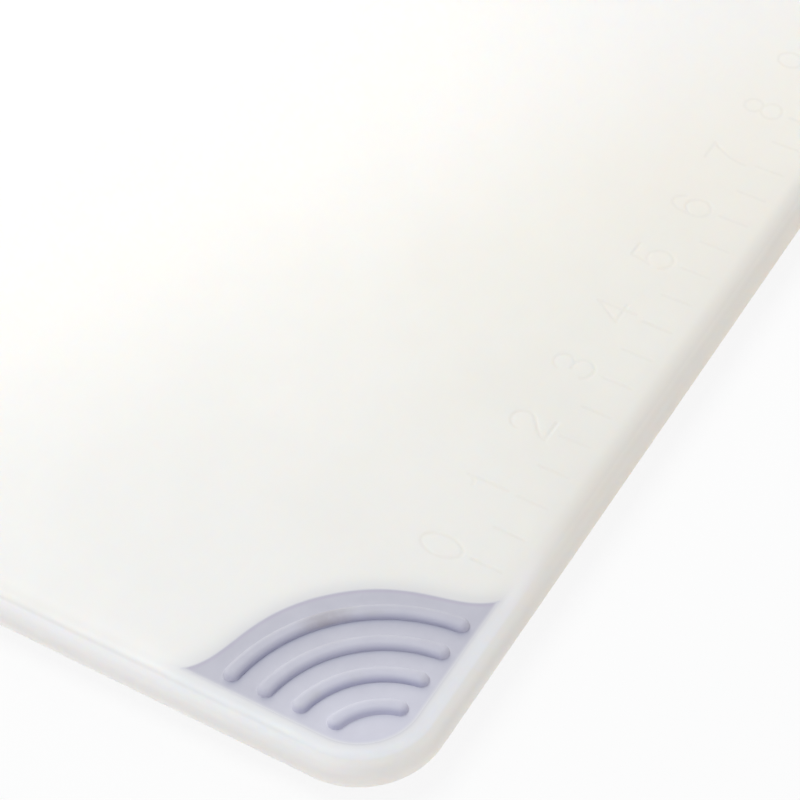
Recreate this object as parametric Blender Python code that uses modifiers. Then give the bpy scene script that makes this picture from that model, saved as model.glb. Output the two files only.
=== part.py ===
"""Plastic cutting board with a ribbed soft grip moulded into each corner.

Metres, +Z up. X runs along the board's length and Y along its width. The origin is under the
middle of the board, on the surface that the lower ribs of the grips stand on.

Each grip is one moulding: a pad in a pocket on both faces, joined through the thin web between
the pockets by pegs, with raised ribs on both pads. A grip is modelled round its square corner,
the point where its two straight sides would meet, and then set at the four corners of the board.
"""
import math

import bmesh
import bpy
from mathutils import Vector

# Board: a slab with round corners and a rounded edge all round
LENGTH = 0.4572
WIDTH = 0.3048
THICKNESS = 0.0127
CORNER_RADIUS = 0.0248
EDGE_RADIUS = 0.0060

# Grip outline: two straight sides along the board's edges, and a curved side that swells
# towards the middle of the board and sweeps out to a pointed tip at each end
GRIP_INSET = 0.0075
GRIP_REACH = 0.0600
GRIP_DEPTH = 0.0560
TIP_ANGLE = math.radians(41.3)
TIP_SWEEP = 0.0124
CROWN_SWEEP = 0.0238

# How the grip sits in the board
GRIP_SINK = 0.0002
WEB_THICKNESS = 0.0060
PEG_RADIUS = 0.0040
PEG_RING = 0.0330
PEG_STEP = math.radians(25.0)
CLEARANCE = 0.0003

# Ribs: arcs round the grip's square corner, with a rounded section and round ends
RIB_WIDTH = 0.0048
RIB_HEIGHT = 0.0018
RIB_ROOT = 0.0001
RIB_ROUND = 0.0019
RIB_FIRST_RADIUS = 0.0177
RIB_PITCH = 0.0101
RIB_SIDE_GAP = 0.0028
RIB_CROWN_GAP = 0.0030

# Facets: how many make each round stretch, and the longest one along a rib
EDGE_STEPS = 6
CORNER_STEPS = 9
SWEEP_STEPS = 12
PEG_STEPS = 16
RIB_ROUND_STEPS = 3
RIB_END_STEPS = 6
RIB_FACET = 0.0036

SQUARE = math.radians(90.0)
DIAGONAL = math.radians(45.0)
WELD = 0.000001
OVERRUN = 0.0020

# Heights that follow from the sizes above, from the board's middle plane and from the ground
PAD_FACE = THICKNESS / 2 - GRIP_SINK
PAD_BACK = WEB_THICKNESS / 2 + CLEARANCE
MID_HEIGHT = PAD_FACE + RIB_HEIGHT

BOARD_COLOUR = (0.84, 0.82, 0.78, 1.0)
GRIP_COLOUR = (0.55, 0.55, 0.64, 1.0)


def polar(radius, angle, centre=(0.0, 0.0)):
    """The point at a distance and an angle from a centre."""
    return Vector((centre[0] + radius * math.cos(angle), centre[1] + radius * math.sin(angle)))


def arc(centre, radius, start, end, steps):
    """Points along an arc, both ends included."""
    return [polar(radius, start + (end - start) * i / steps, centre) for i in range(steps + 1)]


def sweep(start, start_handle, end_handle, end, steps):
    """Points along a cubic curve, both ends included."""
    points = []
    for i in range(steps + 1):
        t = i / steps
        s = 1.0 - t
        points.append(s**3 * start + 3 * s * s * t * start_handle + 3 * s * t * t * end_handle + t**3 * end)
    return points


def grown(outline, amount):
    """An anticlockwise outline moved outwards all round, with its corners kept sharp."""
    moved = []
    for i, here in enumerate(outline):
        arriving = (here - outline[i - 1]).normalized()
        leaving = (outline[(i + 1) % len(outline)] - here).normalized()
        side = Vector((arriving.y, -arriving.x))
        outward = (side + Vector((leaving.y, -leaving.x))).normalized()
        moved.append(here + outward * (amount / outward.dot(side)))
    return moved


def board_outline(rounding):
    """The outline of the board's flat face, inside its rounded edge."""
    radius = CORNER_RADIUS - rounding
    x = LENGTH / 2 - CORNER_RADIUS
    y = WIDTH / 2 - CORNER_RADIUS
    points = []
    for turn, centre in enumerate(((x, y), (-x, y), (-x, -y), (x, -y))):
        points += arc(centre, radius, turn * SQUARE, (turn + 1) * SQUARE, CORNER_STEPS)
    return points


def grip_curved_side():
    """The grip's curved side, from the tip on X over the crown to the tip on Y."""
    tip = Vector((GRIP_REACH, 0.0))
    crown = polar(GRIP_DEPTH, DIAGONAL)
    tip_handle = tip + polar(TIP_SWEEP, 2 * SQUARE - TIP_ANGLE)
    crown_handle = crown + polar(CROWN_SWEEP, -DIAGONAL)
    lower_half = sweep(tip, tip_handle, crown_handle, crown, SWEEP_STEPS)
    return lower_half + [Vector((point.y, point.x)) for point in reversed(lower_half[:-1])]


def grip_outline():
    """The grip's outline. Its corner turns about the same centre as the board's."""
    radius = CORNER_RADIUS - GRIP_INSET
    return grip_curved_side() + arc((radius, radius), radius, 2 * SQUARE, 3 * SQUARE, CORNER_STEPS)


def rib_radii():
    """The radii of the ribs, which are laid at an even pitch until the curved side is too near."""
    room = min(point.length for point in grip_curved_side()) - RIB_CROWN_GAP - RIB_WIDTH / 2
    count = int((room - RIB_FIRST_RADIUS) / RIB_PITCH) + 1
    return [RIB_FIRST_RADIUS + i * RIB_PITCH for i in range(count)]


def rib_outline(radius, half_width):
    """A band along an arc, with round ends that stop short of the grip's straight sides."""
    start = math.asin((RIB_SIDE_GAP + RIB_WIDTH / 2) / radius)
    end = SQUARE - start
    steps = max(4, round(radius * (end - start) / RIB_FACET))
    outer = arc((0.0, 0.0), radius + half_width, start, end, steps)
    far_end = arc(polar(radius, end), half_width, end, end + 2 * SQUARE, RIB_END_STEPS)
    inner = arc((0.0, 0.0), radius - half_width, end, start, steps)
    near_end = arc(polar(radius, start), half_width, start + 2 * SQUARE, start + 4 * SQUARE, RIB_END_STEPS)
    return outer[:-1] + far_end[:-1] + inner[:-1] + near_end[:-1]


def settled_mesh(source, name):
    """The mesh of an object with its modifiers applied and its loose caps welded."""
    bpy.context.view_layer.update()
    depsgraph = bpy.context.evaluated_depsgraph_get()
    mesh = bpy.data.meshes.new_from_object(source.evaluated_get(depsgraph))
    mesh.name = name
    work = bmesh.new()
    work.from_mesh(mesh)
    bmesh.ops.remove_doubles(work, verts=work.verts, dist=WELD)
    bmesh.ops.recalc_face_normals(work, faces=work.faces)
    work.to_mesh(mesh)
    work.free()
    return mesh


def plate(name, outlines, thickness, rounding=0.0, rounding_steps=1):
    """A flat solid centred on z = 0: an outline, and any holes in it. A rounded edge lies outside it."""
    curve = bpy.data.curves.new(name, "CURVE")
    curve.dimensions = "2D"
    curve.fill_mode = "BOTH"
    curve.extrude = thickness / 2 - rounding
    curve.bevel_depth = rounding
    curve.bevel_resolution = rounding_steps - 1
    for outline in outlines:
        spline = curve.splines.new("POLY")
        spline.points.add(len(outline) - 1)
        for point, place in zip(spline.points, outline):
            point.co = (place.x, place.y, 0.0, 1.0)
        spline.use_cyclic_u = True
    drawing = bpy.data.objects.new(name + "_drawing", curve)
    bpy.context.scene.collection.objects.link(drawing)
    mesh = settled_mesh(drawing, name)
    bpy.data.objects.remove(drawing)
    bpy.data.curves.remove(curve)
    return mesh


def add_object(name, mesh, collection):
    """An object in a collection."""
    item = bpy.data.objects.new(name, mesh)
    collection.objects.link(item)
    return item


def add_cutter(name, mesh):
    """A helper that cuts another object or is joined to it, and is no piece itself."""
    item = add_object(name, mesh, cutters)
    item.hide_render = True
    item.display_type = "WIRE"
    return item


def combine(item, operation, helper):
    """A Boolean modifier that cuts an object by a helper, or joins the helper to it."""
    modifier = item.modifiers.new(helper.name, "BOOLEAN")
    modifier.operation = operation
    modifier.solver = "EXACT"
    modifier.object = helper


def finish(mesh, material_name, colour, roughness, sharp_angle):
    """Smooth shading, sharp edges and a plain material for a finished mesh."""
    mesh.shade_smooth()
    mesh.set_sharp_from_angle(angle=math.radians(sharp_angle))
    material = bpy.data.materials.new(material_name)
    material.use_nodes = True
    shader = material.node_tree.nodes["Principled BSDF"]
    shader.inputs["Base Color"].default_value = colour
    shader.inputs["Roughness"].default_value = roughness
    shader.inputs["Metallic"].default_value = 0.0
    mesh.materials.append(material)


def pads_and_pegs(name, growth, depth):
    """Both pads and the pegs that join them through the web, with every side moved out by growth."""
    outline = grown(grip_outline(), growth)
    body = add_cutter(name, plate(name, [outline], depth))
    web_outlines = [grown(outline, OVERRUN)]
    for step in (-1, 0, 1):
        centre = polar(PEG_RING, DIAGONAL + step * PEG_STEP)
        web_outlines.append(arc(centre, PEG_RADIUS + growth, 0.0, 4 * SQUARE, PEG_STEPS)[:-1])
    web = add_cutter(name + "_web", plate(name + "_web", web_outlines, 2 * (PAD_BACK - growth)))
    combine(body, "DIFFERENCE", web)
    return body


def rib_set():
    """The ribs of both pads. Each is a rounded band with a shallow root in its pad."""
    half_height = RIB_HEIGHT + RIB_ROOT
    rounding = min(RIB_ROUND, half_height, 0.45 * RIB_WIDTH)
    root_depth = (PAD_FACE - PAD_BACK) / 2
    work = bmesh.new()
    for radius in rib_radii():
        band = rib_outline(radius, RIB_WIDTH / 2 - rounding)
        mesh = plate("rib", [band], 2 * half_height, rounding, RIB_ROUND_STEPS)
        work.from_mesh(mesh)
        bpy.data.meshes.remove(mesh)
    for vertex in work.verts:
        if vertex.co.z < 0.0:
            vertex.co.z *= root_depth / half_height
        vertex.co.z += PAD_FACE - RIB_ROOT
    mesh = bpy.data.meshes.new("ribs")
    work.to_mesh(mesh)
    work.free()
    ribs = add_cutter("ribs", mesh)
    mirror = ribs.modifiers.new("both pads", "MIRROR")
    mirror.use_axis = (False, False, True)
    mirror.use_mirror_merge = False
    return ribs


def grip_mesh():
    """One whole grip: pads, pegs and ribs in one piece."""
    body = pads_and_pegs("grip_body", 0.0, 2 * PAD_FACE)
    combine(body, "UNION", rib_set())
    mesh = settled_mesh(body, "corner_grip")
    finish(mesh, "soft_grip", GRIP_COLOUR, 0.55, 40.0)
    return mesh


def board_mesh():
    """The slab, with its rounded edge outside the outline of its flat face."""
    rounding = min(EDGE_RADIUS, 0.98 * THICKNESS / 2)
    mesh = plate("board", [board_outline(rounding)], THICKNESS, rounding, EDGE_STEPS)
    finish(mesh, "board_plastic", BOARD_COLOUR, 0.4, 30.0)
    return mesh


def pocket_mesh():
    """What a grip's pockets and peg holes take out of the slab, with room for the grip."""
    return settled_mesh(pads_and_pegs("pocket_body", CLEARANCE, THICKNESS + 2 * OVERRUN), "pocket")


for leftover in list(bpy.data.objects):
    bpy.data.objects.remove(leftover)

parts = bpy.data.collections.new("cutting_board")
cutters = bpy.data.collections.new("cutters")
bpy.context.scene.collection.children.link(parts)
bpy.context.scene.collection.children.link(cutters)

board = add_object("board", board_mesh(), parts)
board.location.z = MID_HEIGHT
grip = grip_mesh()
pocket = pocket_mesh()

corner_x = LENGTH / 2 - GRIP_INSET
corner_y = WIDTH / 2 - GRIP_INSET
corners = (("front_left", -corner_x, -corner_y), ("front_right", corner_x, -corner_y),
           ("back_right", corner_x, corner_y), ("back_left", -corner_x, corner_y))
for turn, (corner_name, x, y) in enumerate(corners):
    piece = add_object("corner_grip_" + corner_name, grip, parts)
    cutter = add_cutter("pocket_" + corner_name, pocket)
    for item in (piece, cutter):
        item.location = (x, y, MID_HEIGHT)
        item.rotation_euler.z = turn * SQUARE
    combine(board, "DIFFERENCE", cutter)
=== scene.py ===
"""Plastic cutting board with a ribbed soft grip moulded into each corner: the dressed scene.

Metres, +Z up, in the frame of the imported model. Every visible surface is a band or a fill:
a band carries a profile of reach and height round a spine, and a fill closes a flat face
between outlines. The ruler's marks are small fields of heights set into the upper face.
"""
import math

import bmesh
import bpy
import numpy as np
from mathutils import Matrix, Vector
from mathutils.geometry import delaunay_2d_cdt


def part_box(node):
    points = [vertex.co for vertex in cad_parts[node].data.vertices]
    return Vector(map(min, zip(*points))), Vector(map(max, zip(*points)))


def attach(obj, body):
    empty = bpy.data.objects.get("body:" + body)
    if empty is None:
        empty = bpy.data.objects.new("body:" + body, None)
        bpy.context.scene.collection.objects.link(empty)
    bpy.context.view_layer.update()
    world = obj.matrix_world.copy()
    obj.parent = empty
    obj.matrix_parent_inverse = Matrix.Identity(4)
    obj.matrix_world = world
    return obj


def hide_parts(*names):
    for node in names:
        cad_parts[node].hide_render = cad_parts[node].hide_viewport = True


# Units and angles
MM = 0.001
INCH = 0.0254
SQUARE = math.radians(90.0)
DIAGONAL = math.radians(45.0)

# How near two points are one, in a piece and in a filled face, and how short an edge is dropped
SAME_PLACE = 1e-6
SAME_IN_FILL = 1e-9
NO_LENGTH = 1e-7

# The way of filling that leaves holes open
INSIDE_WITH_HOLES = 2

# The board's corners in turn, and the numbers that a mesh keeps for its material
CORNER_NAMES = ("front_left", "front_right", "back_right", "back_left")
CORNER_SIGNS = ((-1, -1), (1, -1), (1, 1), (-1, 1))
PLACES = ("past_grip", "off_grip", "in_lip", "out_on_grip", "high_on_rib", "at_foot", "toward_edge",
          "sunk_in_line")

# The board, as in the part's source
CORNER_RADIUS = 24.8 * MM
EDGE_RADIUS = 6.0 * MM
WEB_HALF = 3.0 * MM

# The grip: the outline, how it sits in the board, and its pegs, as in the part's source
GRIP_REACH = 60.0 * MM
GRIP_DEPTH = 56.0 * MM
TIP_ANGLE = math.radians(41.3)
TIP_SWEEP = 12.4 * MM
CROWN_SWEEP = 23.8 * MM
PEG_RADIUS = 4.0 * MM
PEG_RING = 33.0 * MM
PEG_STEP = math.radians(25.0)

# The ribs, as in the part's source, but for the taper that lets the outer ones reach further
RIB_RADII = (17.7 * MM, 27.8 * MM, 37.9 * MM, 48.0 * MM)
RIB_HALF_WIDTH = 2.4 * MM
RIB_ROUND = 1.9 * MM
RIB_SIDE_GAP = 2.8 * MM
RIB_GAP_TAPER = 0.016

# Fine shapes that the solids leave out
TIP_ROUND = 0.25 * MM
SEAM_GAP = 0.004 * MM
PAD_SINK = 0.04 * MM
RIM_WIDTH = 1.1 * MM
CROWN_WIDTH = 13.0 * MM
CROWN_DROP = 0.98 * MM
RIB_FILLET = 0.05 * MM
FLAT_MARGIN = 0.15 * MM
CREASE = math.radians(35.0)

# How wide the tones and the painted light and shade are that follow the shapes
EDGE_BAND = 9.0 * MM
FEATHER_STRAIGHT = 1.1 * MM
FEATHER_CURVED = 0.38 * MM
GRIP_SHADE_WIDTH = 8.0 * MM
LIP_DEPTH = 0.75 * MM
LIP_WIDTH = 0.40 * MM
FOOT_WIDTH = 1.0 * MM
FOOT_REACH = 1.3 * MM
CORNER_NEAR = 45.0 * MM
CORNER_FAR = 110.0 * MM

# A smudge on the outermost rib of the front left grip: its place and how far it spreads
SMUDGE_PLACE = (-0.1905, -0.1098, 0.0145)
SMUDGE_DARK = 2.0 * MM
SMUDGE_END = 9.5 * MM

# How far apart points lie along the rows that a face bends or changes its tone at, and along a rib
FACE_SPACING = 2.4 * MM
PAD_SPACING = 1.6 * MM
RIB_SPACING = 1.1 * MM

# The ruler: its place on the upper face, and the section of its sunk lines
RULER_START = 3.0 * INCH
RULER_INCHES = 12
TICK_NEAR = 11.6 * MM
TICK_FAR = 20.5 * MM
DIGIT_FOOT = 23.6 * MM
DIGIT_HEIGHT = 12.1 * MM
DIGIT_WIDTH = 7.2 * MM
DIGIT_ADVANCE = 9.6 * MM
LINE_HALF = 0.85 * MM
LINE_SLOPE = 0.60 * MM
LINE_DEPTH = 0.07 * MM
LINE_CELL = 0.25 * MM
DRAWN_WIDTH = 0.6

# The floor, the light all round, and the camera that was fitted to the photograph
FLOOR_HALF = 3.0
FLOOR_DROP = 0.05 * MM
WORLD_LIGHT = 0.38
FRAME_PIXELS = 800.0
SENSOR_WIDTH = 36.0
CAMERA_PIXELS = 2671.0
CAMERA_PLACE = (-0.5496, -0.3409, 0.5664)
CAMERA_FORWARD = (0.58388, 0.33963, -0.73738)
CAMERA_RIGHT = (0.50190, -0.86492, -0.00096)

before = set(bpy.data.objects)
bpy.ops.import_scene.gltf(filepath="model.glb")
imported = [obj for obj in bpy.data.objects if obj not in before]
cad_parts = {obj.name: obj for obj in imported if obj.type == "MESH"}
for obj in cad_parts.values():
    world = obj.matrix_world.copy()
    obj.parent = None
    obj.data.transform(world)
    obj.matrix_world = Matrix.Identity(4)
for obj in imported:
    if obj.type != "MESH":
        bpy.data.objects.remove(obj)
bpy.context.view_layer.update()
board_low, board_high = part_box("board")
grip_low, grip_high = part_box("corner_grip_front_left")

HALF_LENGTH = (board_high.x - board_low.x) / 2
HALF_WIDTH = (board_high.y - board_low.y) / 2
HALF_THICK = (board_high.z - board_low.z) / 2
MID_HEIGHT = (board_high.z + board_low.z) / 2
GRIP_INSET = grip_low.x - board_low.x
PAD_FACE = HALF_THICK - PAD_SINK
RIB_CREST = grip_high.z - MID_HEIGHT


# Lines and spines

def polar(radius, angle, centre=(0.0, 0.0)):
    """The points at a radius and angles round a centre."""
    angle = np.asarray(angle, float)
    return np.stack([centre[0] + radius * np.cos(angle), centre[1] + radius * np.sin(angle)], -1)


def arc(centre, radius, start, end, steps):
    """Points at even angles along an arc, both ends included."""
    return polar(radius, np.linspace(start, end, steps + 1), centre)


def sweep(a, b, c, d, steps):
    """Points along the cubic curve of four control points: the Bernstein sum of its parameter."""
    t = np.linspace(0.0, 1.0, steps + 1)[:, None]
    s = 1.0 - t
    return s**3 * a + 3 * s * s * t * b + 3 * s * t * t * c + t**3 * d


def bent_spine(outline, radius, turn_step=math.radians(9.0)):
    """A spine for an outline whose sharp corners are rounded.

    The core is the outline moved inwards by the radius, with mitred corners. Each core point
    carries one outward normal, or a fan of them where the outline turns by more than a step, so
    core + radius * normal is the outline with its corners rounded to that radius.
    """
    arriving = outline - np.roll(outline, 1, axis=0)
    leaving = np.roll(outline, -1, axis=0) - outline
    from_angle = np.arctan2(-arriving[:, 0], arriving[:, 1])
    turn = np.arctan2(-leaving[:, 0], leaving[:, 1]) - from_angle
    turn = (turn + math.pi) % (2 * math.pi) - math.pi
    core = outline - polar(1.0, from_angle + turn / 2) * (radius / np.cos(turn / 2))[:, None]
    count = 1 + np.ceil(np.maximum(turn, 0.0) / turn_step).astype(int)
    owner = np.repeat(np.arange(len(outline)), count)
    place = np.arange(len(owner)) - np.repeat(np.cumsum(count) - count, count)
    angle = from_angle[owner] + turn[owner] * (place + 0.5) / count[owner]
    return core[owner], polar(1.0, angle)


def curved_side():
    """The grip's curved side, from its tip on X over the crown to its tip on Y."""
    tip = np.array((GRIP_REACH, 0.0))
    crown = polar(GRIP_DEPTH, DIAGONAL)
    tip_handle = tip + polar(TIP_SWEEP, 2 * SQUARE - TIP_ANGLE)
    crown_handle = crown + polar(CROWN_SWEEP, -DIAGONAL)
    half = sweep(tip, tip_handle, crown_handle, crown, 36)
    return np.concatenate([half, half[-2::-1, ::-1]])


def grip_spine():
    """The spine of the grip's outline, round the grip's square corner."""
    radius = CORNER_RADIUS - GRIP_INSET
    corner = arc((radius, radius), radius, 2 * SQUARE, 3 * SQUARE, 24)
    return bent_spine(np.concatenate([curved_side(), corner]), TIP_ROUND)


def round_spine(centre, steps):
    """The spine of a circle: its centre, with normals all round."""
    normals = polar(1.0, np.arange(steps) * (2 * math.pi / steps))
    return np.broadcast_to(np.asarray(centre, float), normals.shape), normals


def rib_start(radius):
    """The angle from X at which a rib's middle arc starts, its gap from the grip's straight side.

    The gap narrows by the taper from the innermost rib to the outermost.
    """
    gap = RIB_SIDE_GAP - RIB_GAP_TAPER * (radius - RIB_RADII[0])
    return math.asin((gap + RIB_HALF_WIDTH) / radius)


def rib_spine(radius):
    """The spine of a rib: its middle arc out and back, with a fan of normals at each end."""
    start = rib_start(radius)
    end = SQUARE - start
    steps = max(8, round(radius * (end - start) / RIB_SPACING))
    out = np.linspace(start, end, steps + 1)
    fan = np.linspace(0.0, 2 * SQUARE, 15)[1:-1]
    core_angle = np.concatenate([out, np.full(fan.size, end), out[::-1], np.full(fan.size, start)])
    normal_angle = np.concatenate([out, end + fan, out[::-1] + 2 * SQUARE, start + 2 * SQUARE + fan])
    return polar(radius, core_angle), polar(1.0, normal_angle)


def spread(outline, spacing):
    """The same closed outline with more points on it, about a spacing apart at most."""
    step = np.roll(outline, -1, axis=0) - outline
    count = np.maximum(1, np.round(np.hypot(step[:, 0], step[:, 1]) / spacing)).astype(int)
    owner = np.repeat(np.arange(len(outline)), count)
    place = np.arange(len(owner)) - np.repeat(np.cumsum(count) - count, count)
    return outline[owner] + step[owner] * (place / count[owner])[:, None]


def board_spine():
    """The spine of the board's outline: its corner centres with fans of normals, and points between."""
    fan = np.linspace(0.0, SQUARE, 33)
    between = np.linspace(0.0, 1.0, 42)[1:-1]
    x, y = HALF_LENGTH - CORNER_RADIUS, HALF_WIDTH - CORNER_RADIUS
    centres = np.array(((x, y), (-x, y), (-x, -y), (x, -y)))
    along = np.concatenate([np.zeros(fan.size), between])[None, :, None]
    core = (1 - along) * centres[:, None] + along * np.roll(centres, -1, axis=0)[:, None]
    angles = np.concatenate([fan, np.full(between.size, SQUARE)])[None] + np.arange(4)[:, None] * SQUARE
    return core.reshape(-1, 2), polar(1.0, angles.ravel())


# Surfaces

def ring(spine, reach):
    """The closed outline at a reach from a spine: core + reach * normal."""
    core, normals = spine
    return core + reach * normals


def crown(inward):
    """How far the faces sink towards the board's edge, from the distance inside its outline.

    The drop is a parabola that starts at the crown's width.
    """
    return CROWN_DROP * (1.0 - np.clip(inward / CROWN_WIDTH, 0.0, 1.0))**2


def inside_board(points):
    """How far points lie inside the board's outline, a rectangle with rounded corners."""
    over_x = np.abs(points[:, 0]) - HALF_LENGTH + CORNER_RADIUS
    over_y = np.abs(points[:, 1]) - HALF_WIDTH + CORNER_RADIUS
    past = np.hypot(np.maximum(over_x, 0.0), np.maximum(over_y, 0.0))
    return CORNER_RADIUS - past - np.minimum(np.maximum(over_x, over_y), 0.0)


def crowned(chunk):
    """A surface of the faces, sunk by the crown: wholly at the pads and over, and less down to the web."""
    points, faces = chunk
    over_web = np.clip((np.abs(points[:, 2]) - WEB_HALF) / (PAD_FACE - WEB_HALF), 0.0, 1.0)
    sunk = points.copy()
    sunk[:, 2] -= np.sign(points[:, 2]) * over_web * crown(inside_board(points))
    return sunk, faces


def band(spine, reaches, heights):
    """A closed band round a spine.

    Point (j, i) is the spine's core i moved out by reach j along its normal, at height j.
    """
    core, normals = spine
    heights = np.asarray(heights, float)
    points = np.empty((heights.size, len(core), 3))
    points[..., :2] = core[None] + np.asarray(reaches, float)[:, None, None] * normals[None]
    points[..., 2] = heights[:, None]
    index = np.arange(heights.size * len(core)).reshape(heights.size, len(core))
    following = np.roll(index, -1, axis=1)
    faces = np.stack([index[:-1], following[:-1], following[1:], index[1:]], -1)
    return points.reshape(-1, 3), faces.reshape(-1, 4).tolist()


def fill(outlines, height, free=()):
    """A flat face at a height, inside the first outline and outside the others, over free points."""
    points = [Vector(point) for outline in list(outlines) + [free] for point in outline]
    ends = np.cumsum([len(outline) for outline in outlines]).tolist()
    loops = [list(range(start, end)) for start, end in zip([0] + ends, ends)]
    flat, _, faces, _, _, _ = delaunay_2d_cdt(points, [], loops, INSIDE_WITH_HOLES, SAME_IN_FILL)
    return np.array([(point.x, point.y, height) for point in flat]), faces


def mirrored(chunk):
    """The same surface below the board's middle plane."""
    points, faces = chunk
    return points * (1.0, 1.0, -1.0), faces


def both_faces(chunks):
    """Surfaces and their mirror images in the board's middle plane."""
    return chunks + [mirrored(chunk) for chunk in chunks]


def at_corner(chunk, turn):
    """A surface made round a grip's square corner, turned and set at a corner of the board."""
    points, faces = chunk
    sign_x, sign_y = CORNER_SIGNS[turn]
    angle = turn * SQUARE
    cos, sin = round(math.cos(angle)), round(math.sin(angle))
    x = sign_x * (HALF_LENGTH - GRIP_INSET) + cos * points[:, 0] - sin * points[:, 1]
    y = sign_y * (HALF_WIDTH - GRIP_INSET) + sin * points[:, 0] + cos * points[:, 1]
    return np.column_stack([x, y, points[:, 2]]), faces


def crown_points():
    """Points on even lines inside the board's outline, for its faces to bend at, off the grips."""
    spine = board_spine()
    lines = [spread(ring(spine, CORNER_RADIUS - inward), FACE_SPACING)
             for inward in np.linspace(0.55, 1.04, 6) * CROWN_WIDTH]
    points = np.concatenate(lines)
    return points[grip_miss(points) > RIM_WIDTH + 0.8 * MM]


def bleed_points():
    """Points on the board's face in rows outside the grips, for the painted shade round the grips."""
    rows = []
    for distance in np.array((0.26, 0.38, 0.52, 0.72, 1.0)) * GRIP_SHADE_WIDTH:
        outline = spread(ring(grip_spine(), TIP_ROUND + distance), FACE_SPACING)
        row = (np.column_stack([outline, np.zeros(len(outline))]), None)
        points = np.concatenate([at_corner(row, turn)[0][:, :2] for turn in range(4)])
        on_face = inside_board(points) > EDGE_RADIUS + MM
        rows.append(points[on_face & (grip_miss(points) > 0.96 * distance)])
    return np.concatenate(rows)


def pad_points():
    """Points on a pad in rows beside its outline, off its narrow tips and its ribs."""
    outline = spread(ring(grip_spine(), TIP_ROUND), PAD_SPACING)
    ahead = np.roll(outline, -2, axis=0) - np.roll(outline, 2, axis=0)
    inwards = np.column_stack([-ahead[:, 1], ahead[:, 0]]) / np.hypot(ahead[:, 0], ahead[:, 1])[:, None]
    rows = []
    for depth in np.array((0.25, 0.5, 0.75, 1.0, 1.5, 2.3, 3.4, 4.8)) * FEATHER_STRAIGHT:
        row = outline + depth * inwards
        on_board = row - (HALF_LENGTH - GRIP_INSET, HALF_WIDTH - GRIP_INSET)
        off_ribs = rib_miss(row)[0] > FOOT_REACH + 2 * FLAT_MARGIN
        rows.append(row[off_ribs & (grip_miss(on_board) < -0.9 * depth)])
    return np.concatenate(rows)


def rib_miss(points):
    """How far points lie outside the nearest rib, and how far inside its middle arc's radius.

    The first is the distance to the middle arc less the rib's half width.
    """
    angle, out = np.arctan2(points[:, 1], points[:, 0]), np.hypot(points[:, 0], points[:, 1])
    start = np.array([rib_start(radius) for radius in RIB_RADII])[:, None]
    nearest = polar(np.array(RIB_RADII)[:, None], np.clip(angle, start, SQUARE - start))
    miss = np.hypot(*np.moveaxis(points - nearest, -1, 0)) - RIB_HALF_WIDTH
    rib = miss.argmin(0)
    return miss.min(0), np.array(RIB_RADII)[rib] - out


def place_of(points):
    """Where points lie, as numbers for the materials, each from 0 to 1 but the first.

    past_grip is 0 on the nearest grip's outline, 1 at a feather's width outside it and -1 at a
    feather's width inside. off_grip is the distance outside it over the width of the painted
    shade round the grips. in_lip is a bell curve of the distance inside the curved side, and
    carries the painted shade there. out_on_grip is the distance from the grip's square corner over
    its reach, and high_on_rib the height over the pad as a part of a rib's height. at_foot, which
    carries the painted shade at the ribs' feet, is 1 on a rib's side that faces the square corner
    and fades away from its foot. toward_edge, which carries the painted light along the edge, grows
    from 0 at the edge band's width inside the board's outline to 1 on it, and sunk_in_line is how
    far a point of the upper face is sunk into the ruler's lines.
    """
    inward = inside_board(points)
    level = HALF_THICK - crown(inward)
    outside, past_curve = GRIP_INSET - inward, curve_miss(points)
    past = np.maximum(outside / FEATHER_STRAIGHT, past_curve / FEATHER_CURVED)
    off = np.maximum(outside, past_curve) / GRIP_SHADE_WIDTH
    lip = np.exp(-((past_curve + LIP_DEPTH) / LIP_WIDTH)**2) * (outside < -0.3 * MM)
    a = HALF_LENGTH - GRIP_INSET - np.abs(points[:, 0])
    b = HALF_WIDTH - GRIP_INSET - np.abs(points[:, 1])
    out = np.hypot(a, b) / GRIP_REACH
    high = (np.abs(points[:, 2]) - level + PAD_SINK) / (RIB_CREST - PAD_FACE)
    miss, inside = rib_miss(np.column_stack([a, b]))
    foot = np.exp(-np.maximum(miss, 0.0) / FOOT_WIDTH) * np.clip(0.5 + inside / RIB_HALF_WIDTH, 0.0, 1.0)
    ruled = (inward > TICK_NEAR - 2 * LINE_HALF) & (off * GRIP_SHADE_WIDTH > 2 * RIM_WIDTH) & (points[:, 2] > 0)
    sunk = np.where(ruled, (level - points[:, 2]) / LINE_DEPTH, 0.0)
    place = np.column_stack([past, off, lip, out, high, foot, 1.0 - inward / EDGE_BAND, sunk])
    return np.clip(place, (-1.0, 0.0, 0.0, 0.0, 0.0, 0.0, 0.0, 0.0), 1.0)


def curve_miss(points):
    """How far points lie past the nearest grip's curved side, below 0 on the grip.

    It is the radial miss divided by the length of its gradient.
    """
    a = HALF_LENGTH - GRIP_INSET - np.abs(points[:, 0])
    b = HALF_WIDTH - GRIP_INSET - np.abs(points[:, 1])
    curve = curved_side()
    curve_angle, curve_radius = np.arctan2(curve[:, 1], curve[:, 0]), np.hypot(curve[:, 0], curve[:, 1])
    slope = np.gradient(curve_radius, curve_angle)
    angle, out = np.arctan2(b, a), np.hypot(a, b)
    miss = out - np.interp(angle, curve_angle, curve_radius)
    return miss / np.hypot(1.0, np.interp(angle, curve_angle, slope) / np.maximum(out, MM))


def grip_miss(points):
    """How far points lie outside the nearest grip's outline, below 0 inside it."""
    return np.maximum(GRIP_INSET - inside_board(points), curve_miss(points))


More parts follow.
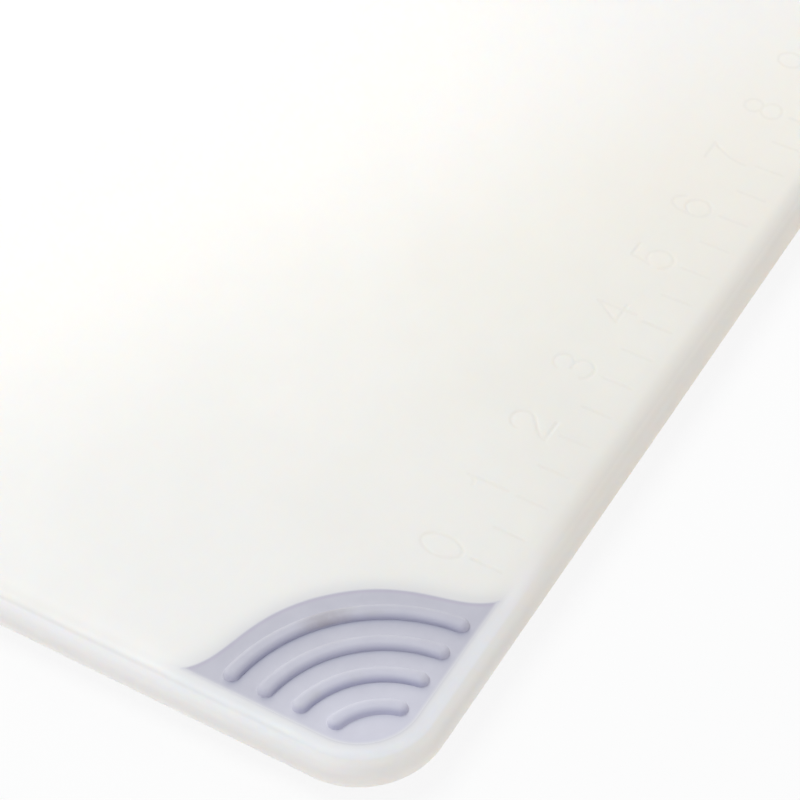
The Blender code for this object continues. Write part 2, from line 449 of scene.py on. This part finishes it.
def piece(name, chunks, material):
    """One object of several surfaces, joined where they meet, with its faces pointing outwards."""
    offsets = np.cumsum([0] + [len(points) for points, _ in chunks])
    points = np.concatenate([points for points, _ in chunks]) + (0.0, 0.0, MID_HEIGHT)
    faces = []
    for offset, (_, chunk_faces) in zip(offsets, chunks):
        faces += [[offset + corner for corner in face] for face in chunk_faces]
    mesh = bpy.data.meshes.new(name)
    mesh.from_pydata(points.tolist(), [], faces)
    work = bmesh.new()
    work.from_mesh(mesh)
    bmesh.ops.remove_doubles(work, verts=work.verts, dist=SAME_PLACE)
    bmesh.ops.dissolve_degenerate(work, edges=work.edges, dist=NO_LENGTH)
    bmesh.ops.delete(work, geom=[vert for vert in work.verts if not vert.link_faces], context="VERTS")
    bmesh.ops.recalc_face_normals(work, faces=work.faces)
    work.to_mesh(mesh)
    work.free()
    mesh.shade_smooth()
    mesh.set_sharp_from_angle(angle=CREASE)
    where = np.empty(3 * len(mesh.vertices))
    mesh.vertices.foreach_get("co", where)
    place = place_of(where.reshape(-1, 3) - (0.0, 0.0, MID_HEIGHT))
    for column, kept in enumerate(PLACES):
        mesh.attributes.new(kept, "FLOAT", "POINT").data.foreach_set("value", place[:, column])
    mesh.materials.append(material)
    item = bpy.data.objects.new(name, mesh)
    bpy.context.scene.collection.objects.link(item)
    return item


# The ruler

def ellipse_stroke(centre, half_x, half_y, start, end, steps=28):
    """A stroke along part of an ellipse. Angles in degrees from +X towards +Y."""
    angle = np.radians(np.linspace(start, end, steps + 1))
    return np.column_stack([centre[0] + half_x * np.cos(angle), centre[1] + half_y * np.sin(angle)])


def digit_strokes(digit):
    """The middle lines of a plain sans digit, 1 high with its foot at 0, and about DRAWN_WIDTH wide."""
    half = DRAWN_WIDTH / 2
    if digit == 0:
        return [ellipse_stroke((0, 0.5), half, 0.5, 0, 360, 48)]
    if digit == 1:
        flag = sweep(np.array((-0.20, 0.79)), np.array((-0.08, 0.80)),
                     np.array((0.01, 0.86)), np.array((0.03, 1.0)), 8)
        return [flag, np.array(((0.03, 1.0), (0.03, 0.0)))]
    if digit == 2:
        bowl = ellipse_stroke((-0.005, 0.715), 0.285, 0.285, 172, -38)
        slope = sweep(bowl[-1], np.array((0.05, 0.38)), np.array((-0.27, 0.26)), np.array((-0.30, 0.0)), 14)
        return [bowl, slope, np.array(((-0.30, 0.0), (0.31, 0.0)))]
    if digit == 3:
        return [ellipse_stroke((-0.01, 0.755), 0.25, 0.245, 165, -90),
                ellipse_stroke((-0.01, 0.265), 0.30, 0.265, 90, -168),
                np.array(((-0.10, 0.52), (0.0, 0.52)))]
    if digit == 4:
        return [np.array(((0.12, 1.0), (-0.32, 0.31), (0.31, 0.31))), np.array(((0.12, 1.0), (0.12, 0.0)))]
    if digit == 5:
        return [np.array(((0.25, 1.0), (-0.19, 1.0), (-0.26, 0.50))),
                ellipse_stroke((-0.005, 0.325), 0.305, 0.325, 146, -160)]
    if digit == 6:
        return [ellipse_stroke((0.0, 0.315), half, 0.315, 0, 360, 40),
                ellipse_stroke((0.0, 0.5), half, 0.5, 34, 202)]
    if digit == 7:
        slope = sweep(np.array((0.30, 1.0)), np.array((0.08, 0.72)),
                      np.array((-0.08, 0.38)), np.array((-0.11, 0.0)), 14)
        return [np.array(((-0.30, 1.0), (0.30, 1.0))), slope]
    if digit == 8:
        return [ellipse_stroke((0.0, 0.76), 0.25, 0.24, 0, 360, 36),
                ellipse_stroke((0.0, 0.26), half, 0.26, 0, 360, 40)]
    return [-stroke + (0.0, 1.0) for stroke in digit_strokes(6)]


def number_strokes(number, x):
    """The middle lines of a number, centred on x and standing on the ruler's digit line."""
    digits = [int(character) for character in str(number)]
    strokes = []
    for place, digit in enumerate(digits):
        centre = x + (place - (len(digits) - 1) / 2) * DIGIT_ADVANCE
        for stroke in digit_strokes(digit):
            wide = DIGIT_WIDTH / DRAWN_WIDTH * stroke[:, 0] + centre
            high = DIGIT_HEIGHT * stroke[:, 1] + DIGIT_FOOT - HALF_WIDTH
            strokes.append(np.column_stack([wide, high]))
    return strokes


def distance_to_strokes(points, strokes):
    """How far each point is from the nearest stroke, by the nearest point on every segment."""
    starts = np.concatenate([stroke[:-1] for stroke in strokes])
    spans = np.concatenate([stroke[1:] for stroke in strokes]) - starts
    offset = points[:, None] - starts[None]
    along = np.clip((offset * spans).sum(-1) / (spans**2).sum(-1), 0.0, 1.0)
    return np.sqrt(((offset - along[..., None] * spans)**2).sum(-1).min(1))


def sunk_patch(strokes, cell_x, cell_y):
    """A rectangle of the upper face with strokes sunk into it, and its outline.

    The height falls from the face to the line's depth by a smooth step of the distance to the
    nearest stroke, so a line has a flat floor, sloped sides and round ends.
    """
    points = np.concatenate(strokes)
    margin = LINE_HALF + LINE_CELL
    low, high = points.min(0) - margin, points.max(0) + margin
    columns = max(4, math.ceil((high[0] - low[0]) / cell_x))
    rows = max(4, math.ceil((high[1] - low[1]) / cell_y))
    x, y = np.meshgrid(np.linspace(low[0], high[0], columns + 1), np.linspace(low[1], high[1], rows + 1))
    flat = np.column_stack([x.ravel(), y.ravel()])
    depth = np.clip((LINE_HALF - distance_to_strokes(flat, strokes)) / LINE_SLOPE, 0.0, 1.0)
    height = HALF_THICK - LINE_DEPTH * depth * depth * (3 - 2 * depth)
    index = np.arange(flat.shape[0]).reshape(rows + 1, columns + 1)
    faces = np.stack([index[:-1, :-1], index[:-1, 1:], index[1:, 1:], index[1:, :-1]], -1).reshape(-1, 4)
    border = np.concatenate([index[0, :-1], index[:-1, -1], index[-1, :0:-1], index[:0:-1, 0]])
    return (np.column_stack([flat, height]), faces.tolist()), flat[border]


def ruler_patches():
    """All the ruler's ticks and numbers: their surfaces, and their outlines on the face."""
    surfaces, outlines = [], []
    for half_inch in range(2 * RULER_INCHES + 1):
        x = RULER_START + half_inch * INCH / 2 - HALF_LENGTH
        tick = [np.array(((x, TICK_NEAR - HALF_WIDTH), (x, TICK_FAR - HALF_WIDTH)))]
        marks = [sunk_patch(tick, LINE_CELL * 0.8, LINE_CELL * 1.6)]
        if half_inch % 2 == 0:
            marks.append(sunk_patch(number_strokes(half_inch // 2, x), LINE_CELL, LINE_CELL))
        for surface, outline in marks:
            surfaces.append(surface)
            outlines.append(outline)
    return surfaces, outlines


# The grips and the board

def peg_spines():
    """The spines of the three pegs that join a grip's pads through the web."""
    return [round_spine(polar(PEG_RING, DIAGONAL + step * PEG_STEP), 32) for step in (-1, 0, 1)]


def rib_section():
    """Half of a rib's section, as reaches and heights from the flat pad to the crest's middle.

    Rows of the flat pad come first. Then an arc of the fillet leaves the pad, and an arc of the
    rib's round rises to the flat crest.
    """
    rib_height = RIB_CREST - PAD_FACE
    root = RIB_ROUND - rib_height
    crest_half = RIB_HALF_WIDTH - RIB_ROUND
    fillet = np.linspace(0.0, math.radians(72.0), 5)
    foot = RIB_HALF_WIDTH + RIB_FILLET
    fillet_reach = foot - RIB_FILLET * np.sin(fillet)
    fillet_height = RIB_FILLET * (1 - np.cos(fillet))
    start = math.asin((fillet_height[-1] + root) / RIB_ROUND)
    side = np.linspace(start, SQUARE, 11)[1:]
    margin = np.linspace(FOOT_REACH, FLAT_MARGIN, 4)
    reach = np.concatenate([foot + margin, fillet_reach, crest_half + RIB_ROUND * np.cos(side), [0.0]])
    height = np.concatenate([np.zeros(4), fillet_height, RIB_ROUND * np.sin(side) - root, [rib_height]])
    return reach, PAD_FACE + height


def grip_surfaces():
    """One whole grip: two ribbed pads, their sides and backs, and the pegs between them."""
    spine = grip_spine()
    back = WEB_HALF + SEAM_GAP
    edge_reach = TIP_ROUND - SEAM_GAP
    reach, height = rib_section()
    ribs = [rib_spine(radius) for radius in RIB_RADII]
    pegs = peg_spines()
    peg_reach = PEG_RADIUS - SEAM_GAP
    face_outlines = [ring(spine, edge_reach)] + [ring(rib, reach[0]) for rib in ribs]
    back_outlines = [ring(spine, edge_reach)] + [ring(peg, peg_reach) for peg in pegs]
    half = [band(spine, (edge_reach, edge_reach), (back, PAD_FACE)),
            fill(face_outlines, PAD_FACE, pad_points()), fill(back_outlines, back)]
    half += [band(rib, reach, height) for rib in ribs]
    return both_faces(half) + [band(peg, (peg_reach, peg_reach), (back, -back)) for peg in pegs]


def pocket_surfaces():
    """Half of what the board shows at a grip, and the outline where it leaves the face.

    It is a softly rounded rim, which falls to the pad by a smooth step, then the pocket's side
    and its floor.
    """
    spine = grip_spine()
    along = np.linspace(0.0, 1.0, 9)
    reach = TIP_ROUND + RIM_WIDTH * np.concatenate([[1.15], 1 - along, [0.0]])
    height = np.concatenate([[HALF_THICK], HALF_THICK - PAD_SINK * along**2 * (3 - 2 * along), [WEB_HALF]])
    floor_outlines = [ring(spine, reach[-1])] + [ring(peg, PEG_RADIUS) for peg in peg_spines()]
    return [band(spine, reach, height), fill(floor_outlines, WEB_HALF)], ring(spine, reach[0])


def edge_section():
    """Half of the board's edge, as distances inside its outline and heights, down to the middle.

    A few steps of the crown, then an arc that carries on at the crown's slope and is upright at
    the middle: its points follow the arc's angle, its height is scaled to end at the middle.
    """
    start = EDGE_RADIUS + FLAT_MARGIN
    inward = np.linspace(start, EDGE_RADIUS * 0.9, 3)
    height = HALF_THICK - crown(inward)
    tilt = math.atan(2 * CROWN_DROP / CROWN_WIDTH * (1 - inward[-1] / CROWN_WIDTH))
    turn = np.linspace(tilt, SQUARE, 17)[1:]
    across = (1 - np.sin(turn)) / (1 - math.sin(tilt)) * inward[-1]
    down = np.cos(turn) / math.cos(tilt) * height[-1]
    return np.concatenate([inward, across]), np.concatenate([height, down])


def board_surfaces():
    """The whole board: the rounded edge, both faces with their pockets, and the ruler's marks."""
    spine = board_spine()
    inward, height = edge_section()
    reach = CORNER_RADIUS - np.concatenate([inward, inward[::-1]])
    half_pocket, rim = pocket_surfaces()
    pegs = [band(peg, (PEG_RADIUS, PEG_RADIUS), (WEB_HALF, -WEB_HALF)) for peg in peg_spines()]
    pocket = both_faces(half_pocket) + pegs
    surfaces = [crowned(at_corner(chunk, turn)) for turn in range(4) for chunk in pocket]
    flat_rim = (np.column_stack([rim, np.zeros(len(rim))]), None)
    outlines = [ring(spine, reach[0])] + [at_corner(flat_rim, turn)[0][:, :2] for turn in range(4)]
    marks, mark_outlines = ruler_patches()
    surfaces += [crowned(mark) for mark in marks]
    bends = np.concatenate([crown_points(), bleed_points()])
    surfaces.append(crowned(fill(outlines + mark_outlines, HALF_THICK, bends)))
    surfaces.append(crowned(fill(outlines, -HALF_THICK, bends)))
    return surfaces + [band(spine, reach, np.concatenate([height, -height[::-1]]))]


# Materials

class Nodes:
    """A short way to add linked nodes to a material. Colours are red, green and blue."""

    def __init__(self, material):
        material.use_nodes = True
        self.tree = material.node_tree
        self.shader = self.tree.nodes["Principled BSDF"]
        self.place = self.add("ShaderNodeTexCoord").outputs["Object"]

    def add(self, kind, **settings):
        """A new node with some of its own settings."""
        node = self.tree.nodes.new(kind)
        for name, value in settings.items():
            setattr(node, name, value)
        return node

    def wire(self, value, socket):
        """Links an output to a socket, or sets the socket's value. A plain colour is made opaque."""
        if isinstance(value, bpy.types.NodeSocket):
            self.tree.links.new(value, socket)
        elif socket.type == "RGBA":
            socket.default_value = (*value, 1.0)
        else:
            socket.default_value = value

    def coordinates(self):
        """The three coordinates of a point, in the shared frame."""
        parts = self.add("ShaderNodeSeparateXYZ")
        self.wire(self.place, parts.inputs[0])
        return tuple(parts.outputs)

    def kept(self, name):
        """A number that the mesh keeps of where it lies."""
        return self.add("ShaderNodeAttribute", attribute_name=name).outputs["Fac"]

    def noise(self, scale, detail=2.0, roughness=0.5):
        """Noise from 0 to 1 whose features are 1 / scale metres across."""
        node = self.add("ShaderNodeTexNoise")
        self.wire(self.place, node.inputs["Vector"])
        self.wire(scale, node.inputs["Scale"])
        self.wire(detail, node.inputs["Detail"])
        self.wire(roughness, node.inputs["Roughness"])
        return node.outputs["Fac"]

    def math(self, operation, first, second):
        """A sum, difference or other result of two numbers."""
        node = self.add("ShaderNodeMath", operation=operation)
        self.wire(first, node.inputs[0])
        self.wire(second, node.inputs[1])
        return node.outputs[0]

    def times(self, first, second):
        """The product of two numbers."""
        return self.math("MULTIPLY", first, second)

    def fit(self, value, low, high, new_low, new_high):
        """A value stretched from one range to another by a smooth step, and held at its ends."""
        node = self.add("ShaderNodeMapRange", interpolation_type="SMOOTHSTEP")
        for number, name in ((value, "Value"), (low, "From Min"), (high, "From Max"),
                             (new_low, "To Min"), (new_high, "To Max")):
            self.wire(number, node.inputs[name])
        return node.outputs["Result"]

    def rise(self, value, low, high):
        """A smooth step from 0 at the low end of a range to 1 at its high end."""
        return self.fit(value, low, high, 0.0, 1.0)

    def fall(self, value, low, high):
        """A smooth step from 1 at the low end of a range to 0 at its high end."""
        return self.fit(value, low, high, 1.0, 0.0)

    def mix(self, amount, first, second):
        """A mix of two colours, all of the second at 1."""
        node = self.add("ShaderNodeMix", data_type="RGBA")
        self.wire(amount, node.inputs[0])
        self.wire(first, node.inputs[6])
        self.wire(second, node.inputs[7])
        return node.outputs[2]

    def bump(self, height, distance, before=None):
        """A bump whose height of 1 stands for a distance in metres."""
        node = self.add("ShaderNodeBump")
        self.wire(1.0, node.inputs["Strength"])
        self.wire(distance, node.inputs["Distance"])
        self.wire(height, node.inputs["Height"])
        if before is not None:
            self.wire(before, node.inputs["Normal"])
        return node.outputs["Normal"]


def face_tone(nodes, x, y):
    """The board's faintly clouded white, yellower at the front right, with painted light that makes it
    lighter to the right and a painted sheen that makes it lighter towards the back.
    """
    cloud = nodes.rise(nodes.noise(26.0, 3.0), 0.35, 0.65)
    whiter_tone = nodes.mix(cloud, (0.870, 0.864, 0.853), (0.857, 0.850, 0.836))
    yellower_tone = nodes.mix(cloud, (0.870, 0.852, 0.800), (0.857, 0.838, 0.784))
    colour = nodes.mix(nodes.rise(nodes.math("SUBTRACT", x, y), -0.20, 0.13), whiter_tone, yellower_tone)
    # Painted light: lighter and warmer on the right-hand half.
    colour = nodes.mix(nodes.rise(x, -0.08, 0.12), colour, (0.930, 0.888, 0.822))
    # Painted sheen: lighter towards the back.
    beyond = nodes.math("ADD", x, nodes.times(y, 2.0))
    return nodes.mix(nodes.rise(beyond, -0.24, -0.04), colour, (0.924, 0.904, 0.890))


def edge_tone(nodes, colour, x, y, z):
    """Three strips of painted light and shade laid over a colour along the board's edge: shoulder, rim and
    side.

    Each has one tone behind a diagonal by the front left corner and another in front of it, by a
    smooth step of x less y. In front, and on the shoulder, the tone also differs close to a
    corner, by the distance to the nearest one along the edge.
    """
    toward = nodes.kept("toward_edge")
    front = nodes.rise(nodes.math("SUBTRACT", x, y), -0.12, -0.07)
    x_to_end = nodes.math("SUBTRACT", HALF_LENGTH, nodes.math("ABSOLUTE", x, 0.0))
    y_to_end = nodes.math("SUBTRACT", HALF_WIDTH, nodes.math("ABSOLUTE", y, 0.0))
    by_corner = nodes.fall(nodes.math("MAXIMUM", x_to_end, y_to_end), CORNER_NEAR, CORNER_FAR)

    # Painted light and shade: the shoulder is lighter near the corners in front and darker elsewhere, the
    # rim carries a painted highlight, darker far from the corners in front, and the lower side painted
    # bounce light at the left and near the corners, with painted shade in front away from the corners.
    cool = nodes.mix(front, (0.843, 0.842, 0.852), (0.945, 0.940, 0.952))
    shoulder_shade = nodes.mix(front, (0.815, 0.805, 0.790), (0.810, 0.785, 0.735))
    front_rim_light_and_shade = nodes.mix(by_corner, (0.845, 0.820, 0.765), (0.915, 0.900, 0.860))
    warm = nodes.mix(by_corner, (0.852, 0.760, 0.642), (0.925, 0.872, 0.812))

    shoulder = nodes.times(nodes.rise(toward, 0.0, 0.45), nodes.fall(toward, 0.57, 0.83))
    rim = nodes.times(nodes.rise(toward, 0.60, 0.69), nodes.fall(toward, 0.74, 0.90))
    side = nodes.times(nodes.rise(toward, 0.53, 0.93), nodes.fall(z, 3.0 * MM, 12.0 * MM))
    colour = nodes.mix(shoulder, colour, nodes.mix(by_corner, shoulder_shade, cool))
    colour = nodes.mix(rim, colour, nodes.mix(front, (0.950, 0.940, 0.926), front_rim_light_and_shade))
    return nodes.mix(side, colour, nodes.mix(front, (0.950, 0.915, 0.862), warm))


def board_plastic():
    """White plastic, slightly translucent and satin, with painted grey shade on it round the grips."""
    material = bpy.data.materials.new("board_plastic")
    nodes = Nodes(material)
    shader = nodes.shader
    x, y, z = nodes.coordinates()
    by_grip = nodes.math("SUBTRACT", 1.0, nodes.kept("off_grip"))
    in_line = nodes.times(nodes.kept("sunk_in_line"), 0.35)
    grip_shade = nodes.times(nodes.math("POWER", by_grip, 3.0), 0.42)
    seam = nodes.fall(nodes.kept("past_grip"), -1.0, 1.0)

    colour = edge_tone(nodes, face_tone(nodes, x, y), x, y, z)
    colour = nodes.mix(in_line, colour, (0.825, 0.795, 0.75))
    # Painted shade: the white turns greyer close to the grips.
    colour = nodes.mix(grip_shade, colour, (0.60, 0.59, 0.64))
    colour = nodes.mix(seam, colour, (0.60, 0.60, 0.68))
    nodes.wire(colour, shader.inputs["Base Color"])

    nodes.wire(nodes.fall(by_grip, 0.6, 1.0), shader.inputs["Subsurface Weight"])
    shader.subsurface_method = "RANDOM_WALK"
    shader.inputs["Subsurface Radius"].default_value = (1.0, 0.85, 0.70)
    shader.inputs["Subsurface Scale"].default_value = 5.0 * MM
    shader.inputs["IOR"].default_value = 1.49
    nodes.wire(nodes.fit(nodes.noise(90.0, 3.0), 0.3, 0.7, 0.34, 0.41), shader.inputs["Roughness"])
    peel = nodes.bump(nodes.noise(420.0, 1.0), 0.01 * MM)
    nodes.wire(nodes.bump(nodes.noise(2600.0, 2.0), 0.004 * MM, peel), shader.inputs["Normal"])
    return material


def foot_tone(nodes, colour, out, high):
    """Painted shade laid over the grip's colour up each rib's inner side, and a painted shadow on the pad
    beside it.
    """
    foot = nodes.kept("at_foot")
    # Painted shade up the inner side of each rib, strongest near its foot.
    flank = nodes.times(nodes.rise(high, 0.0, 0.06), nodes.fit(high, 0.5, 1.0, 1.0, 0.35))
    flank = nodes.times(flank, nodes.fit(out, 0.35, 0.62, 1.0, 0.55))
    colour = nodes.mix(nodes.times(flank, foot), colour, (0.465, 0.47, 0.61))
    # Painted shadow on the pad at the foot of each rib's inner side.
    foot_shadow = nodes.times(nodes.fall(high, 0.0, 0.06), nodes.fit(out, 0.25, 0.80, 0.05, 0.9))
    return nodes.mix(nodes.times(foot_shadow, foot), colour, (0.41, 0.415, 0.52))


def smudged(nodes, colour, high):
    """A grey smudge on the outermost rib, broken up by noise, laid over the grip's colour."""
    spot = nodes.add("ShaderNodeVectorMath", operation="DISTANCE")
    nodes.wire(nodes.place, spot.inputs[0])
    nodes.wire(SMUDGE_PLACE, spot.inputs[1])
    inside = nodes.fall(spot.outputs["Value"], SMUDGE_DARK, SMUDGE_END)
    patches = nodes.fit(nodes.noise(220.0, 3.0, 0.6), 0.25, 0.60, 0.35, 0.8)
    smudge = nodes.times(nodes.times(inside, patches), nodes.rise(high, 0.0, 0.5))
    return nodes.mix(smudge, colour, (0.42, 0.40, 0.45))


def soft_grip():
    """Matt lavender-grey rubber with a fine grain, with painted shade away from the corner, at the ribs'
    feet and inside the curved side, and with wear on the crests.
    """
    material = bpy.data.materials.new("soft_grip")
    nodes = Nodes(material)
    shader = nodes.shader
    out, high = nodes.kept("out_on_grip"), nodes.kept("high_on_rib")
    mottle = nodes.rise(nodes.noise(110.0, 4.0, 0.6), 0.3, 0.7)
    # Painted shade: the rubber darkens from the square corner outwards.
    near = nodes.mix(mottle, (0.692, 0.690, 0.782), (0.667, 0.662, 0.752))
    far = nodes.mix(mottle, (0.555, 0.550, 0.625), (0.535, 0.530, 0.605))
    wear = nodes.fit(nodes.noise(62.0, 3.0, 0.6), 0.52, 0.70, 0.0, 0.6)
    lip = nodes.times(nodes.kept("in_lip"), 0.8)
    seam = nodes.rise(nodes.kept("past_grip"), -1.0, 1.0)

    colour = foot_tone(nodes, nodes.mix(nodes.rise(out, 0.0, 1.0), near, far), out, high)
    colour = nodes.mix(nodes.times(wear, nodes.rise(high, 0.35, 0.95)), colour, (0.53, 0.53, 0.57))
    colour = smudged(nodes, colour, high)
    # Painted shade on the pad just inside the curved side, where the board's step shades it.
    colour = nodes.mix(lip, colour, (0.51, 0.475, 0.58))
    colour = nodes.mix(seam, colour, (0.89, 0.885, 0.87))
    nodes.wire(colour, shader.inputs["Base Color"])

    shader.inputs["IOR"].default_value = 1.45
    nodes.wire(nodes.fit(nodes.noise(300.0, 3.0), 0.3, 0.7, 0.56, 0.68), shader.inputs["Roughness"])
    nodes.wire(nodes.bump(nodes.noise(1800.0, 3.0, 0.6), 0.02 * MM), shader.inputs["Normal"])
    return material


# The pieces

plastic = board_plastic()
rubber = soft_grip()

board = piece("board_slab", board_surfaces(), plastic)
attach(board, "root")
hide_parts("board")

for turn, corner in enumerate(CORNER_NAMES):
    grip = piece("grip_" + corner, [crowned(at_corner(chunk, turn)) for chunk in grip_surfaces()], rubber)
    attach(grip, "root")
    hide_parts("corner_grip_" + corner)


# Floor, light and camera

def sees_background(tree):
    """1 for the rays to which the plain white background shows: camera, glossy and transmission rays."""
    rays = tree.nodes.new("ShaderNodeLightPath")
    seen = rays.outputs["Is Camera Ray"]
    for name in ("Is Glossy Ray", "Is Transmission Ray"):
        either = tree.nodes.new("ShaderNodeMath")
        either.operation = "MAXIMUM"
        tree.links.new(seen, either.inputs[0])
        tree.links.new(rays.outputs[name], either.inputs[1])
        seen = either.outputs[0]
    return seen


def floor_material():
    """White floor with a faint soft shadow by the board, which fades to plain white further off."""
    material = bpy.data.materials.new("floor_white")
    nodes = Nodes(material)
    nodes.shader.inputs["Base Color"].default_value = (0.88, 0.88, 0.88, 1.0)
    nodes.shader.inputs["Roughness"].default_value = 0.9
    nodes.shader.inputs["Specular IOR Level"].default_value = 0.1
    white = nodes.add("ShaderNodeEmission")
    white.inputs["Color"].default_value = (1.0, 1.0, 1.0, 1.0)
    away = nodes.add("ShaderNodeVectorMath", operation="LENGTH")
    nodes.wire(nodes.place, away.inputs[0])
    plain = nodes.fit(away.outputs["Value"], 0.40, 0.90, 0.88, 1.0)
    mixed = nodes.add("ShaderNodeMixShader")
    nodes.wire(nodes.math("MULTIPLY", plain, sees_background(nodes.tree)), mixed.inputs[0])
    nodes.wire(nodes.shader.outputs[0], mixed.inputs[1])
    nodes.wire(white.outputs[0], mixed.inputs[2])
    nodes.wire(mixed.outputs[0], nodes.tree.nodes["Material Output"].inputs["Surface"])
    return material


def make_floor():
    """A flat square of floor, just under the ribs that the board stands on."""
    corners = [(x * FLOOR_HALF, y * FLOOR_HALF, -FLOOR_DROP) for x, y in CORNER_SIGNS]
    mesh = bpy.data.meshes.new("floor")
    mesh.from_pydata(corners, [], [(0, 1, 2, 3)])
    mesh.materials.append(floor_material())
    item = bpy.data.objects.new("floor", mesh)
    bpy.context.scene.collection.objects.link(item)


def make_world():
    """Soft even light all round, and plain white where the camera looks past the floor."""
    world = bpy.data.worlds.new("studio")
    bpy.context.scene.world = world
    world.use_nodes = True
    tree = world.node_tree
    light = tree.nodes["Background"]
    light.inputs["Color"].default_value = (0.74, 0.77, 1.0, 1.0)
    light.inputs["Strength"].default_value = WORLD_LIGHT
    white = tree.nodes.new("ShaderNodeBackground")
    white.inputs["Color"].default_value = (1.0, 1.0, 1.0, 1.0)
    mixed = tree.nodes.new("ShaderNodeMixShader")
    tree.links.new(sees_background(tree), mixed.inputs[0])
    tree.links.new(light.outputs[0], mixed.inputs[1])
    tree.links.new(white.outputs[0], mixed.inputs[2])
    tree.links.new(mixed.outputs[0], tree.nodes["World Output"].inputs["Surface"])


def make_lamp(name, azimuth, elevation, distance, size, watts, colour):
    """A soft lamp, wide by high, aimed at the board. Azimuth in degrees from +X towards +Y."""
    data = bpy.data.lights.new(name, "AREA")
    data.shape = "RECTANGLE"
    data.size, data.size_y = size
    data.energy = watts
    data.color = colour
    lamp = bpy.data.objects.new(name, data)
    a, e = math.radians(azimuth), math.radians(elevation)
    aim = Vector((math.cos(a) * math.cos(e), math.sin(a) * math.cos(e), math.sin(e)))
    lamp.location = aim * distance
    lamp.rotation_mode = "QUATERNION"
    lamp.rotation_quaternion = aim.to_track_quat("Z", "Y")
    bpy.context.scene.collection.objects.link(lamp)


def make_camera():
    """The photograph's view of the front left corner."""
    data = bpy.data.cameras.new("camera")
    data.sensor_width = SENSOR_WIDTH
    data.lens = CAMERA_PIXELS / FRAME_PIXELS * SENSOR_WIDTH
    data.clip_start = 0.01
    data.clip_end = 20.0
    forward = Vector(CAMERA_FORWARD).normalized()
    right = Vector(CAMERA_RIGHT).normalized()
    camera = bpy.data.objects.new("camera", data)
    camera.matrix_world = Matrix((right, right.cross(forward), -forward)).transposed().to_4x4()
    camera.location = CAMERA_PLACE
    bpy.context.scene.collection.objects.link(camera)
    bpy.context.scene.camera = camera


make_floor()
make_world()
make_lamp("back", 45.0, 40.0, 1.1, (0.65, 0.65), 4.4, (1.0, 0.94, 0.76))
make_lamp("overhead", 90.0, 65.0, 1.6, (0.9, 0.9), 15.1, (0.97, 0.995, 0.90))
make_lamp("low_left", 180.0, 5.3, 1.305, (1.6, 0.2), 4.1, (1.0, 0.96, 0.86))
make_lamp("low_front", 270.0, 5.3, 1.305, (1.6, 0.2), 4.4, (1.0, 0.93, 0.72))
make_camera()
bpy.context.scene.view_settings.view_transform = "Standard"
